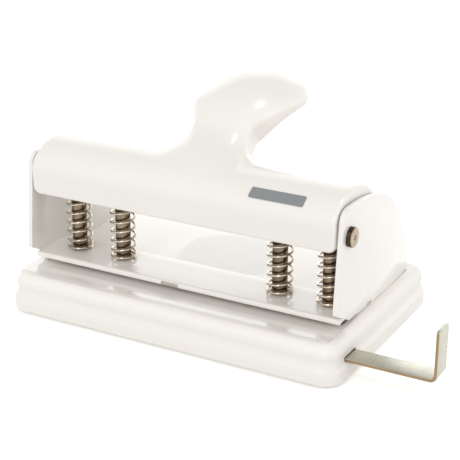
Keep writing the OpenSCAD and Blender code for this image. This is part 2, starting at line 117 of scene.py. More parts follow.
def extrude_x(outline, x0, x1, round_r=0.0):
    """A YZ outline pushed from x0 to x1, with its rims rounded."""
    mesh = bpy.data.meshes.new("extrusion")
    bm = bmesh.new()
    near = [bm.verts.new((x0 * MM, y * MM, z * MM)) for y, z in outline]
    far = [bm.verts.new((x1 * MM, y * MM, z * MM)) for y, z in outline]
    n = len(outline)
    bm.faces.new(near)
    bm.faces.new(list(reversed(far)))
    for i in range(n):
        k = (i + 1) % n
        bm.faces.new([near[k], near[i], far[i], far[k]])
    bmesh.ops.recalc_face_normals(bm, faces=bm.faces)
    if round_r:
        bevel(bm, [e for e in bm.edges if abs(e.verts[0].co.x - e.verts[1].co.x) < 1e-9], round_r, 3)
    bm.to_mesh(mesh)
    bm.free()
    return mesh


def arc(c, r, a0, a1, n):
    """n + 1 points on a circle, from angle a0 to a1 in degrees."""
    return [(c[0] + r * math.cos(math.radians(a0 + (a1 - a0) * i / n)),
             c[1] + r * math.sin(math.radians(a0 + (a1 - a0) * i / n))) for i in range(n + 1)]


def fillet(points, radii, n=5):
    """The closed outline with each corner rounded by its own radius."""
    out = []
    count = len(points)
    for i, r in enumerate(radii):
        p = np.array(points[i], float)
        if r <= 0:
            out.append(tuple(p))
            continue
        a = np.array(points[i - 1], float) - p
        b = np.array(points[(i + 1) % count], float) - p
        la, lb = np.linalg.norm(a), np.linalg.norm(b)
        a, b = a / la, b / lb
        half = math.acos(max(-1, min(1, float(a @ b)))) / 2
        trim = min(r / math.tan(half), 0.49 * la, 0.49 * lb)
        r = trim * math.tan(half)
        c = p + (a + b) / np.linalg.norm(a + b) * (r / math.sin(half))
        s, e = p + a * trim, p + b * trim
        a0 = math.atan2(*(s - c)[::-1])
        a1 = math.atan2(*(e - c)[::-1])
        turn = (a1 - a0 + math.pi) % (2 * math.pi) - math.pi
        out += [(c[0] + r * math.cos(a0 + turn * k / n), c[1] + r * math.sin(a0 + turn * k / n))
                for k in range(n + 1)]
    return out


def join(meshes, name):
    """One mesh holding several closed shells."""
    bm = bmesh.new()
    for m in meshes:
        bm.from_mesh(m)
    out = bpy.data.meshes.new(name)
    bm.to_mesh(out)
    bm.free()
    return out


def bridge(rings):
    """Faces between rings of point numbers that follow each other."""
    count = len(rings[0])
    return [[lo[k], hi[k], hi[(k + 1) % count], lo[(k + 1) % count]]
            for lo, hi in zip(rings, rings[1:]) for k in range(count)]


def lathe(profile, centre, axis, around=48):
    """A closed turned solid. The profile is (radius, height) from one end of the axis to the other."""
    axis = Vector(axis).normalized()
    side = axis.orthogonal().normalized()
    up = axis.cross(side)
    points, rings = [], []
    for r, h in profile:
        if r < 1e-6:
            rings.append([len(points)])
            points.append(Vector(centre) + axis * h)
        else:
            rings.append(list(range(len(points), len(points) + around)))
            for k in range(around):
                a = 2 * math.pi * k / around
                points.append(Vector(centre) + axis * h + (side * math.cos(a) + up * math.sin(a)) * r)
    faces = []
    for lo, hi in zip(rings, rings[1:]):
        for k in range(around):
            m = (k + 1) % around
            if len(lo) == 1:
                faces.append([lo[0], hi[k], hi[m]])
            elif len(hi) == 1:
                faces.append([lo[m], lo[k], hi[0]])
            else:
                faces.append([lo[k], hi[k], hi[m], lo[m]])
    if len(rings[0]) > 1:
        faces.append(list(rings[0]))
    if len(rings[-1]) > 1:
        faces.append(list(reversed(rings[-1])))
    return mesh_from("lathe", points, faces)


def box_mesh(lo, hi, round_r):
    bm = bmesh.new()
    bmesh.ops.create_cube(bm, size=1.0)
    for v in bm.verts:
        v.co = Vector([(lo[i] + hi[i]) / 2 * MM + v.co[i] * (hi[i] - lo[i]) * MM for i in range(3)])
    bevel(bm, list(bm.edges), round_r, 2)
    mesh = bpy.data.meshes.new("box")
    bm.to_mesh(mesh)
    bm.free()
    return mesh


def cut(mesh, tools):
    """The mesh with each tool mesh taken away from it."""
    ob = in_scene("cutting", mesh)
    helper = in_scene("tools", join(tools, "tools"))
    mod = ob.modifiers.new("cut", "BOOLEAN")
    mod.operation = "DIFFERENCE"
    mod.solver = "EXACT"
    mod.use_self = True
    mod.object = helper
    deps = bpy.context.evaluated_depsgraph_get()
    out = bpy.data.meshes.new_from_object(ob.evaluated_get(deps))
    bpy.data.objects.remove(ob)
    bpy.data.objects.remove(helper)
    return out


# ---------------------------------------------------------------- materials
def new_material(name):
    mat = bpy.data.materials.new(name)
    mat.use_nodes = True
    tree = mat.node_tree
    tree.nodes.clear()
    out = tree.nodes.new("ShaderNodeOutputMaterial")
    bsdf = tree.nodes.new("ShaderNodeBsdfPrincipled")
    tree.links.new(bsdf.outputs[0], out.inputs[0])
    return mat, tree, bsdf


def link(tree, a, b):
    tree.links.new(a, b)


def coords(tree, scale=(1, 1, 1)):
    tex = tree.nodes.new("ShaderNodeTexCoord")
    mapping = tree.nodes.new("ShaderNodeMapping")
    mapping.inputs["Scale"].default_value = scale
    link(tree, tex.outputs["Object"], mapping.inputs["Vector"])
    return mapping.outputs["Vector"]


def noise(tree, vector, scale, detail=2.0, roughness=0.5):
    n = tree.nodes.new("ShaderNodeTexNoise")
    n.inputs["Scale"].default_value = scale
    n.inputs["Detail"].default_value = detail
    n.inputs["Roughness"].default_value = roughness
    link(tree, vector, n.inputs["Vector"])
    return n.outputs["Fac"]


def spread(tree, value, lo, hi, from_lo=0.3, from_hi=0.7):
    m = tree.nodes.new("ShaderNodeMapRange")
    m.inputs["From Min"].default_value = from_lo
    m.inputs["From Max"].default_value = from_hi
    m.inputs["To Min"].default_value = lo
    m.inputs["To Max"].default_value = hi
    link(tree, value, m.inputs["Value"])
    return m.outputs["Result"]


def mix(tree, factor, a, b):
    m = tree.nodes.new("ShaderNodeMix")
    m.data_type = "RGBA"
    for socket, v in ((m.inputs["Factor"], factor), (m.inputs["A"], a), (m.inputs["B"], b)):
        if isinstance(v, (int, float)):
            socket.default_value = v
        elif isinstance(v, tuple):
            socket.default_value = (*v, 1)
        else:
            link(tree, v, socket)
    return m.outputs["Result"]


def bump(tree, bsdf, height, strength, distance):
    b = tree.nodes.new("ShaderNodeBump")
    b.inputs["Strength"].default_value = strength
    b.inputs["Distance"].default_value = distance
    link(tree, height, b.inputs["Height"])
    link(tree, b.outputs["Normal"], bsdf.inputs["Normal"])
    return b


def edge_mask(tree, radius, lo, hi):
    """1 along worn or burnished edges, 0 on the flats."""
    rounded = tree.nodes.new("ShaderNodeBevel")
    rounded.samples = 4
    rounded.inputs["Radius"].default_value = radius
    geo = tree.nodes.new("ShaderNodeNewGeometry")
    dot = tree.nodes.new("ShaderNodeVectorMath")
    dot.operation = "DOT_PRODUCT"
    link(tree, rounded.outputs["Normal"], dot.inputs[0])
    link(tree, geo.outputs["Normal"], dot.inputs[1])
    return spread(tree, dot.outputs["Value"], 1, 0, lo, hi)


def painted(name, base, shade, rough, gloss):
    """Stoved enamel: orange peel, faint cloudiness and a clear gloss."""
    mat, tree, bsdf = new_material(name)
    v = coords(tree)
    cloud = noise(tree, v, 17, 2)
    tone = mix(tree, spread(tree, cloud, 0, 1, 0.15, 0.85), base, shade)
    link(tree, tone, bsdf.inputs["Base Color"])
    smear = noise(tree, v, 90, 4, 0.6)
    link(tree, spread(tree, smear, rough * 0.85, rough * 1.2, 0.1, 0.9), bsdf.inputs["Roughness"])
    bsdf.inputs["Coat Weight"].default_value = gloss
    bsdf.inputs["Coat Roughness"].default_value = 0.05
    bump(tree, bsdf, noise(tree, v, 420, 2, 0.4), 0.042, 0.0002)
    return mat


def moulded(name, base, shade, rough):
    """Injection-moulded plastic with a fine spark texture."""
    mat, tree, bsdf = new_material(name)
    v = coords(tree)
    cloud = noise(tree, v, 17, 2)
    link(tree, mix(tree, spread(tree, cloud, 0, 1, 0.15, 0.85), base, shade), bsdf.inputs["Base Color"])
    smear = noise(tree, v, 60, 4, 0.6)
    link(tree, spread(tree, smear, rough * 0.85, rough * 1.2, 0.1, 0.9), bsdf.inputs["Roughness"])
    bump(tree, bsdf, noise(tree, v, 2600, 2, 0.5), 0.10, 0.0001)
    return mat


def math_node(tree, op, a, b=0.0):
    m = tree.nodes.new("ShaderNodeMath")
    m.operation = op
    for socket, v in zip(m.inputs, (a, b)):
        if isinstance(v, (int, float)):
            socket.default_value = v
        else:
            link(tree, v, socket)
    return m.outputs[0]


def facing(tree, axis, lo, hi):
    """From lo on the faces that look across an axis of the piece to hi on those that look along it."""
    geo = tree.nodes.new("ShaderNodeNewGeometry")
    turned = tree.nodes.new("ShaderNodeVectorTransform")
    turned.vector_type = "NORMAL"
    turned.convert_from, turned.convert_to = "WORLD", "OBJECT"
    link(tree, geo.outputs["Normal"], turned.inputs[0])
    split = tree.nodes.new("ShaderNodeSeparateXYZ")
    link(tree, turned.outputs[0], split.inputs[0])
    return spread(tree, math_node(tree, "ABSOLUTE", split.outputs[axis]), lo, hi, 0.5, 0.85)


def metal(name, bright, dark, rough, grain=(1, 1, 1), scale=300, depth=0.1, wear=0.3, flank=None):
    """Metal with a grain along one direction, blotchy tone and brighter edges.

    flank is (tone, axis, lo, hi): a second tone and the faces it covers, as for facing(). On the rivet
    this second tone is painted shade."""
    mat, tree, bsdf = new_material(name)
    bsdf.inputs["Metallic"].default_value = 1
    v = coords(tree)
    g = coords(tree, grain)
    blotch = noise(tree, v, 160, 4, 0.6)
    tone = mix(tree, spread(tree, blotch, 0, 1), bright, dark)
    if flank:
        second, axis, lo, hi = flank
        tone = mix(tree, facing(tree, axis, lo, hi), tone, second)
    worn = math_node(tree, "MULTIPLY", edge_mask(tree, 0.0003, 0.75, 0.98), wear)
    lit = tuple(min(1.0, c * 1.25) for c in bright)
    link(tree, mix(tree, worn, tone, lit), bsdf.inputs["Base Color"])
    streak = noise(tree, g, scale, 3, 0.6)
    link(tree, spread(tree, streak, rough * 0.75, rough * 1.35), bsdf.inputs["Roughness"])
    bump(tree, bsdf, streak, depth, 0.00005)
    return mat


enamel = painted("white_enamel", (0.865, 0.834, 0.787), (0.848, 0.815, 0.766), 0.16, 1.0)
casting = painted("white_casting", (0.855, 0.824, 0.777), (0.838, 0.805, 0.756), 0.24, 0.3)
plastic = moulded("white_plastic_moulding", (0.875, 0.843, 0.796), (0.858, 0.825, 0.776), 0.36)
zinc = metal("zinc", (0.62, 0.60, 0.55), (0.40, 0.38, 0.34), 0.32)
tool = metal("tool_steel", (0.48, 0.46, 0.43), (0.33, 0.31, 0.29), 0.28, (1, 12, 12), 200)
# The pins' dark bronze tone is partly their own colour and partly a painted reflection of a dark room
punch = metal("punch_steel", (0.30, 0.235, 0.17), (0.15, 0.11, 0.08), 0.2, (1, 1, 0.15), 900, 0.15)
spring_wire = metal("spring_wire", (0.72, 0.65, 0.54), (0.50, 0.43, 0.34), 0.14, (1, 1, 1), 700, 0.08)
plated = metal("plated_strip", (0.57, 0.56, 0.485), (0.52, 0.505, 0.425), 0.3, (0.1, 1, 1), 900, 0.10, 0.2,
               ((0.33, 0.235, 0.135), 1, 0, 1))
# The near-black second tone on the faces that look across the rivet's axis is painted shade, not a finish
# of the steel
rivet = metal("rivet_steel", (0.52, 0.43, 0.31), (0.32, 0.25, 0.165), 0.25, (1, 1, 1), 500, 0.1, 0.8,
              ((0.06, 0.045, 0.03), 0, 1, 0))


def simple(name, base, shade, rough, scale, depth):
    """A grained surface for rubber, nylon, print, paper and the painted shade in the lip's notch."""
    mat, tree, bsdf = new_material(name)
    v = coords(tree)
    grain = noise(tree, v, scale, 3)
    link(tree, mix(tree, spread(tree, grain, 0, 1), base, shade), bsdf.inputs["Base Color"])
    smear = noise(tree, v, scale / 4, 3)
    link(tree, spread(tree, smear, rough * 0.85, rough * 1.15), bsdf.inputs["Roughness"])
    bump(tree, bsdf, grain, depth, 0.0001)
    return mat


rubber = simple("rubber_black", (0.035, 0.034, 0.033), (0.055, 0.053, 0.05), 0.75, 1800, 0.25)
nylon = simple("nylon_natural", (0.72, 0.70, 0.64), (0.66, 0.64, 0.58), 0.45, 900, 0.1)
label_ink = simple("label_grey", (0.22, 0.235, 0.24), (0.25, 0.265, 0.27), 0.4, 1400, 0.1)
# Painted shade: a beige-grey tone for a thin sheet in the lip's notch, making the recess darker
notch_shade = simple("mark_beige", (0.50, 0.47, 0.42), (0.46, 0.43, 0.385), 0.45, 1400, 0.1)

node_material = {
    "base_body": plastic, "base_plate": enamel, "die_plate": tool, "die_screws": zinc,
    "frame_screws": zinc, "rubber_foot": rubber, "chip_lid": plastic, "lid_hinge_pin": zinc,
    "frame": enamel, "paper_stop": enamel, "stop_rivets": zinc, "lever": casting,
    "presser_bar": tool, "label_plate": label_ink, "pivot_pin_left": rivet,
    "pivot_pin_right": rivet, "pivot_washers": nylon, "paper_guide": plated,
    "guide_rivet": zinc, "guide_spring": spring_wire,
}
for i in (1, 2, 3, 4):
    node_material[f"punch_pin_{i}"] = punch
    node_material[f"spring_retainer_{i}"] = zinc
    node_material[f"return_spring_{i}"] = spring_wire
for name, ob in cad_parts.items():
    ob.data.materials.clear()
    ob.data.materials.append(node_material[name])


# ---------------------------------------------------------------- lever casting, from a distance field
def polygon_distance(poly, y, z):
    """Signed distance to a closed YZ polygon, negative inside."""
    best = np.full(y.shape, 1e9)
    inside = np.zeros(y.shape, bool)
    n = len(poly)
    for i in range(n):
        ay, az = poly[i]
        by, bz = poly[(i + 1) % n]
        ey, ez = by - ay, bz - az
        wy, wz = y - ay, z - az
        t = np.clip((wy * ey + wz * ez) / (ey * ey + ez * ez + 1e-12), 0, 1)
        best = np.minimum(best, (wy - t * ey) ** 2 + (wz - t * ez) ** 2)
        if az != bz:
            crosses = ((az <= z) & (z < bz)) | ((bz <= z) & (z < az))
            inside ^= crosses & (y < ay + (z - az) / (bz - az) * ey)
    return np.where(inside, -1, 1) * np.sqrt(best)


def slab(x, x0, x1):
    return np.abs(x - (x0 + x1) / 2) - (x1 - x0) / 2


def round_and(a, b, r):
    """Intersection of two fields whose common edge is rounded by r."""
    return np.minimum(np.maximum(a + r, b + r), 0) + np.sqrt(
        np.maximum(a + r, 0) ** 2 + np.maximum(b + r, 0) ** 2) - r


def smooth_min(a, b, k):
    h = np.maximum(k - np.abs(a - b), 0) / k
    return np.minimum(a, b) - h * h * k / 4


def smooth_max(a, b, k):
    return -smooth_min(-a, -b, k)


# Cover: skirt, nose and big curve in the YZ plane, then its ends and roundings
skirt_low, skirt_high = (-14.35, 46.4), (-15.2, 57.2)
cover_c, cover_r, cover_t, nose_r, rear_deg = (2.5, 42.7), 24.0, 2.4, 7.0, 36.0
cover_x, end_t, edge_r, corner_cut = lever_hi[0], 2.0, 0.9, 1.7
# Inside it: bosses at the pivots, and ribs with a web that hold the presser bar
boss_r, boss_len, pivot_hole_r = 4.2, 4.5, 2.8
rib_x, rib_t, bar_wall, bar_play = (-44, 2, 47.5), 2.5, 2, 0.02
web_front, web_rear = 2.5, 4.5


def touching_centre(low, slope, inset, z0, big_c, reach):
    """Highest centre, inset from a leaning edge through low, that is within reach of big_c."""
    found = None
    for k in range(241):
        z = z0 + 0.05 * k
        y = low[0] + slope * (z - low[1]) + inset
        if math.hypot(y - big_c[0], z - big_c[1]) <= reach:
            found = (y, z)
    return found


def angle_from(c, p):
    return math.degrees(math.atan2(p[1] - c[1], p[0] - c[0]))


def cover_outline(t):
    """The cover's outline, t inside its skin. An inner one runs on downwards and to the rear."""
    slope = (skirt_high[0] - skirt_low[0]) / (skirt_high[1] - skirt_low[1])
    centre = touching_centre(skirt_low, slope, nose_r, 52, cover_c, cover_r - nose_r)
    touch = angle_from(cover_c, centre)
    r = cover_r - t
    low = skirt_low[1] - (30 if t else 0)
    points = [(skirt_low[0] + t, low)]
    points += arc(centre, nose_r - t, 180, touch, 16)
    points += arc(cover_c, r, touch, rear_deg, 64)
    if t:
        points += [(200, cover_c[1] + r * math.sin(math.radians(rear_deg))), (200, low)]
    return points


# Handle: its spine in the YZ plane, and where along it the neck is and the palm rest starts to close
spine_p = np.array([[10, 56], [27.1, 74.5], [28, 83.6], [67.7, 86.0]], float)
waist, palm = 0.34, 0.71
# Half width, half thickness and squareness of its section
foot_w, neck_w, palm_w = 16.8, 12.9, 22.2
foot_t, neck_t, palm_t = 13.9, 7.0, 6.3
foot_blunt, palm_blunt = 3.2, 2.37
palm_sweep, palm_drop = 7.5, 4.85
crook, crook_from, crook_peak, crook_to = 4.2, 0.18, 0.36, 0.64
handle_blend = 7.0


def spine(t):
    t = np.asarray(t)[..., None]
    return ((1 - t) ** 3 * spine_p[0] + 3 * (1 - t) ** 2 * t * spine_p[1]
            + 3 * (1 - t) * t * t * spine_p[2] + t ** 3 * spine_p[3])


def spine_dir(t):
    t = np.asarray(t)[..., None]
    return ((1 - t) ** 2 * (spine_p[1] - spine_p[0]) + 2 * (1 - t) * t * (spine_p[2] - spine_p[1])
            + t * t * (spine_p[3] - spine_p[2])) * 3


def unit(d):
    return d / np.linalg.norm(d, axis=-1, keepdims=True)


def ease(a, b, t):
    s = np.clip(t, 0, 1)
    return a + (b - a) * s * s * (3 - 2 * s)


def handle_field(x, y, z):
    """A value that is 0 on the handle's surface and negative inside, and the distance past its end."""
    step = 0.25
    ty = np.arange(y.min() - 12, y.max() + 12, step)
    tz = np.arange(z.min() - 12, z.max() + 12, step)
    samples = np.linspace(0, 1.12, 180)
    sp = spine(samples)
    gy, gz = np.meshgrid(ty, tz, indexing="ij")
    best = np.full(gy.shape, 1e9)
    near = np.zeros(gy.shape)
    for t, p in zip(samples, sp):
        d = (gy - p[0]) ** 2 + (gz - p[1]) ** 2
        closer = d < best
        best[closer] = d[closer]
        near[closer] = t

    def lookup(py, pz):
        iy = np.clip(((py - ty[0]) / step).round().astype(int), 0, len(ty) - 1)
        iz = np.clip(((pz - tz[0]) / step).round().astype(int), 0, len(tz) - 1)
        t = near[iy, iz]
        for _ in range(3):
            s, d = spine(t), spine_dir(t)
            t = t + ((py - s[..., 0]) * d[..., 0] + (pz - s[..., 1]) * d[..., 1]) / (d ** 2).sum(-1)
            t = np.clip(t, -0.05, 1.15)
        return t

    def growth(t):
        return np.clip((t - waist) / (palm - waist), 0, 1)

    # The palm rest's sides sweep forwards and droop
    t = lookup(y, z)
    for _ in range(3):
        d = unit(spine_dir(t))
        side = (x / palm_w) ** 2 * growth(t)
        py = y - d[..., 0] * palm_sweep * side - d[..., 1] * palm_drop * side
        pz = z - d[..., 1] * palm_sweep * side + d[..., 0] * palm_drop * side
        t = lookup(py, pz)
    c, d = spine(t), unit(spine_dir(t))
    n = -(py - c[..., 0]) * d[..., 1] + (pz - c[..., 1]) * d[..., 0]
    along = (py - c[..., 0]) * d[..., 0] + (pz - c[..., 1]) * d[..., 1]
    grow = growth(t)
    w = np.where(t < waist, ease(foot_w, neck_w, t / waist), ease(neck_w, palm_w, grow ** 0.68))
    h = np.where(t < waist, ease(foot_t, neck_t, t / waist), ease(neck_t, palm_t, grow))
    # The inside of the bend is filled out
    fill = (ease(0, crook, (t - crook_from) / (crook_peak - crook_from))
            * ease(1, 0, (t - crook_peak) / (crook_to - crook_peak)))
    h = h + np.where(n < 0, fill, 0)
    blunt = ease(foot_blunt, palm_blunt, grow)
    past = np.maximum(0, (t - palm) / (1 - palm))
    shut = np.sign(1 - past ** 2) * np.abs(1 - past ** 2) ** (blunt / 2)
    value = (np.abs(x) / w) ** blunt + (np.abs(n) / h) ** blunt + 1 - shut
    return np.maximum(value, 1e-9) ** (1 / blunt) - 1, along


def surface_nets(field, origin, step):
    """Points and quads of the zero surface of a sampled field."""
    nx, ny, nz = field.shape
    inside = field < 0
    count = np.zeros((nx - 1, ny - 1, nz - 1), np.int8)
    for i in (0, 1):
        for j in (0, 1):
            for k in (0, 1):
                count += inside[i:nx - 1 + i, j:ny - 1 + j, k:nz - 1 + k]
    cells = np.argwhere((count > 0) & (count < 8))
    index = np.full(count.shape, -1, np.int64)
    index[tuple(cells.T)] = np.arange(len(cells))
    total = np.zeros((len(cells), 3))
    hits = np.zeros(len(cells))
    corners = [(i, j, k) for i in (0, 1) for j in (0, 1) for k in (0, 1)]
    for a in corners:
        for axis in range(3):
            if a[axis]:
                continue
            b = tuple(1 if m == axis else a[m] for m in range(3))
            va = field[cells[:, 0] + a[0], cells[:, 1] + a[1], cells[:, 2] + a[2]]
            vb = field[cells[:, 0] + b[0], cells[:, 1] + b[1], cells[:, 2] + b[2]]
            cross = (va < 0) != (vb < 0)
            t = np.where(cross, va / np.where(cross, va - vb, 1), 0)
            for m in range(3):
                total[:, m] += np.where(cross, a[m] + (t if m == axis else 0), 0)
            hits += cross
    points = origin + (cells + total / hits[:, None]) * step
    quads = []
    for axis in range(3):
        a, b = [m for m in range(3) if m != axis]
        sel0 = [slice(None)] * 3
        sel1 = [slice(None)] * 3
        sel0[axis], sel1[axis] = slice(0, -1), slice(1, None)
        flip = inside[tuple(sel0)] != inside[tuple(sel1)]
        edges = np.argwhere(flip)
        ok = (edges[:, a] > 0) & (edges[:, b] > 0)
        ok &= (edges[:, a] < field.shape[a] - 1) & (edges[:, b] < field.shape[b] - 1)
        edges = edges[ok]
        da = np.zeros(3, int)
        db = np.zeros(3, int)
        da[a], db[b] = 1, 1
        ring = [edges - da - db, edges - db, edges, edges - da]
        ids = np.stack([index[tuple(c.T)] for c in ring], 1)
        starts_inside = inside[tuple(edges.T)]
        if axis == 1:
            starts_inside = ~starts_inside
        ids = np.where(starts_inside[:, None], ids, ids[:, ::-1])
        quads.append(ids)
    return points, np.concatenate(quads)


def sample(field, origin, step, points):
    """Trilinear value of a field at points."""
    g = (points - origin) / step
    i = np.clip(g.astype(int), 0, np.array(field.shape) - 2)
    f = g - i
    out = 0
    for a in (0, 1):
        for b in (0, 1):
            for c in (0, 1):
                at = (a, b, c)
                w = np.prod([f[:, m] if at[m] else 1 - f[:, m] for m in range(3)], axis=0)
                out = out + w * field[i[:, 0] + a, i[:, 1] + b, i[:, 2] + c]
    return out


def lever_mesh():
    step = 0.7
    pad = 3 * step
    xs = np.arange(0, cover_x + pad + step, step)
    xs = np.concatenate([-xs[:0:-1], xs])
    ys = np.arange(lever_lo[1] - pad, lever_hi[1] + pad, step)
    zs = np.arange(lever_lo[2] - pad, lever_hi[2] + pad, step)
    gy, gz = np.meshgrid(ys, zs, indexing="ij")
    x = xs[:, None, None]
    shell = polygon_distance(cover_outline(0), gy, gz)[None]
    hollow = polygon_distance(cover_outline(cover_t), gy, gz)[None]
    field = round_and(shell, slab(x, -cover_x, cover_x), edge_r)
    # The handle only spans part of the width
    wide = np.abs(xs) < palm_w + 8
    hx = xs[wide][:, None, None]
    f, along = handle_field(*np.broadcast_arrays(hx, gy[None], gz[None]))
    grads = np.gradient(f, step)
    slope = np.sqrt(sum(g * g for g in grads))
    dist = np.clip(f / np.maximum(slope, 0.02), -20, 20)
    dist = np.maximum(dist, -along - 1.5)
    field[wide] = smooth_min(field[wide], dist, handle_blend)
    between_ends = slab(x, -cover_x + end_t, cover_x - end_t)
    field = smooth_max(field, -np.maximum(hollow, between_ends), edge_r)
    # The skirt's lower corners are cut off
    corner = (np.abs(x) - cover_x) + (skirt_low[1] - gz[None]) + corner_cut
    field = smooth_max(field, corner / math.sqrt(2), 0.6)
    # Bosses around the pivots and ribs over the presser bar
    round_pivot = np.hypot(gy - pivot_y, gz - pivot_z)[None]
    boss = round_and(round_pivot - boss_r, slab(np.abs(x), cover_x - boss_len, cover_x - 0.1), 0.4)
    field = smooth_min(field, boss, 0.6)
    bar_y, bar_z = (bar_lo[1] + bar_hi[1]) / 2, (bar_lo[2] + bar_hi[2]) / 2
    bar_r = (bar_hi[1] - bar_lo[1]) / 2
    to_bar = np.hypot(gy - bar_y, gz - bar_z)[None]
    web = np.maximum(slab(gy, bar_y - web_front, bar_y + web_rear), bar_z - gz)[None]
    rib = np.maximum(np.minimum(to_bar - bar_r - bar_wall, web), shell + 0.4)
    for rx in rib_x:
        field = smooth_min(field, round_and(rib, slab(x, rx - rib_t / 2, rx + rib_t / 2), 0.4), 0.8)
    field = np.maximum(field, -(round_pivot - pivot_hole_r))
    field = np.maximum(field, -np.maximum(to_bar - bar_r - bar_play, between_ends))
    origin = np.array([xs[0], ys[0], zs[0]])
    points, quads = surface_nets(field, origin, step)
    # Settle the points on the surface
    grad = np.gradient(field, step)
    for _ in range(3):
        value = sample(field, origin, step, points)
        g = np.stack([sample(c, origin, step, points) for c in grad], 1)
        size = np.maximum((g * g).sum(1), 0.05)
        move = -value[:, None] * g / size[:, None]
        points = points + np.clip(move, -0.3 * step, 0.3 * step)
    return mesh_from("lever_casting", points, quads.tolist())


add_piece("lever_casting", lever_mesh(), casting, 50, "lever", "lever")


# ---------------------------------------------------------------- return springs
def coil_mesh(cx, lo, hi):
    """A compression spring with one closed turn at each end."""
    turns, per_turn, around = 8, 40, 12
    wire_r = 0.5
    r = (hi[0] - lo[0]) / 2 - wire_r
    z0, z1 = lo[2] + wire_r, hi[2] - wire_r
    # A closed turn rises by little more than the wire
    closed = 2 * wire_r * 1.08
    pitch = (z1 - z0 - 2 * closed) / (turns - 2)
    steps = turns * per_turn
    points = []
    for k in range(steps + 1):
        t = k / per_turn
        if t < 1:
            z = z0 + closed * t
        elif t > turns - 1:
            z = z1 - closed * (turns - t)
        else:
            z = z0 + closed + pitch * (t - 1)
        a = 2 * math.pi * t
        for j in range(around):
            b = 2 * math.pi * j / around
            q = r + wire_r * math.cos(b)
            points.append((cx + q * math.cos(a), q * math.sin(a), z + wire_r * math.sin(b)))
    rings = [list(range(k * around, (k + 1) * around)) for k in range(steps + 1)]
    faces = bridge(rings) + [rings[0], rings[-1][::-1]]
    return mesh_from("coil", points, faces)


for i, (cx, (lo, hi)) in enumerate(zip(pin_x, spring_boxes), 1):
    coil = add_piece(f"coil_spring_{i}", coil_mesh(cx, lo, hi), spring_wire, 60, "base",
                     f"return_spring_{i}")
    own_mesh(coil)


# ---------------------------------------------------------------- folded frame
sheet_t, rim_r = 1.8, 0.4
front_low, front_lean, top_corner_r = (-16.4, 23.4), 0.094, 5.0
crown_y, crown_r, crown_slope = -5.0, 90.0, 15.0
back_r, back_slope, tail_r = 41.0, 60.0, 70.0
mouth_y, slit_h, slit_round = -4.8, 1.4, 0.1
seat_z = spring_boxes[0][0][2] - 0.02
lip_y, lip_t, lip_drop, guide_rear = -12.0, 1.4, 0.3, 8.5
mark_x = (-8.4, -0.8)


def side_outline():
    """YZ outline of a side plate, clockwise from the foot of the front edge."""
    def shifted(c, d, slope):
        a = math.radians(slope)
        return c[0] + d * math.sin(a), c[1] + d * math.cos(a)

    crown = (crown_y, frame_hi[2] - crown_r)
    rear = shifted(crown, crown_r - back_r, crown_slope)
    tail = shifted(rear, back_r - tail_r, back_slope)
    lean = math.atan(front_lean)
    corner = touching_centre(front_low, front_lean, top_corner_r / math.cos(lean), 50, crown,
                             crown_r - top_corner_r)
    touch = angle_from(crown, corner)
    end = math.degrees(math.asin((base_top - tail[1]) / tail_r))
    curve = arc(corner, top_corner_r, 180 - math.degrees(lean), touch, 10)[:-1]
    curve += arc(crown, crown_r, touch, 90 - crown_slope, 10)[:-1]
    curve += arc(rear, back_r, 90 - crown_slope, 90 - back_slope, 24)[:-1]
    curve += arc(tail, tail_r, 90 - back_slope, end, 14)
    slit = arc((stop_lo[1] + 3, base_top + slit_h / 2), slit_h / 2 + slit_round, -60, 70, 6)
    foot = fillet([curve[0], front_low, (mouth_y, base_top + slit_h), slit[-1]], [0, 1.2, 0.8, 0])
    return foot[1:-1] + slit[::-1] + curve[::-1]


def guide_plate():
    """The plate that the springs stand on, with its rolled lip, pin holes and centre mark."""
    low = seat_z - sheet_t
    section = fillet([
        (lip_y, low - lip_drop), (lip_y + lip_t, low - lip_drop), (lip_y + lip_t + 0.4, low),
        (guide_rear, low), (guide_rear, seat_z), (lip_y, seat_z)], [0.3, 0.3, 0.3, 0.4, 0.4, 1.1])
    plate = extrude_x(section, frame_lo[0] + sheet_t / 2, frame_hi[0] - sheet_t / 2)
    holes = [lathe([(3.05, -4), (3.05, 4)], (x, 0, seat_z - 1), (0, 0, 1)) for x in pin_x]
    notch = box_mesh((mark_x[0], lip_y - 1, seat_z - 3), (mark_x[1], lip_y + 0.6, seat_z - 0.5), 0.2)
    return cut(plate, holes + [notch])


side = side_outline()
sheets = [extrude_x(side, x, x + sheet_t, rim_r) for x in (frame_hi[0] - sheet_t, frame_lo[0])]
# A thin sheet in the lip's notch, coloured to paint the shade in that recess
mark = box_mesh((mark_x[0] + 0.05, lip_y + 0.15, seat_z - 2.05),
                (mark_x[1] - 0.05, lip_y + 0.55, seat_z - 0.55), 0.1)
add_piece("centre_mark", mark, notch_shade, 40, "base")
add_piece("folded_frame", join(sheets + [guide_plate()], "folded_frame"), enamel, 40,
          "base", "frame")


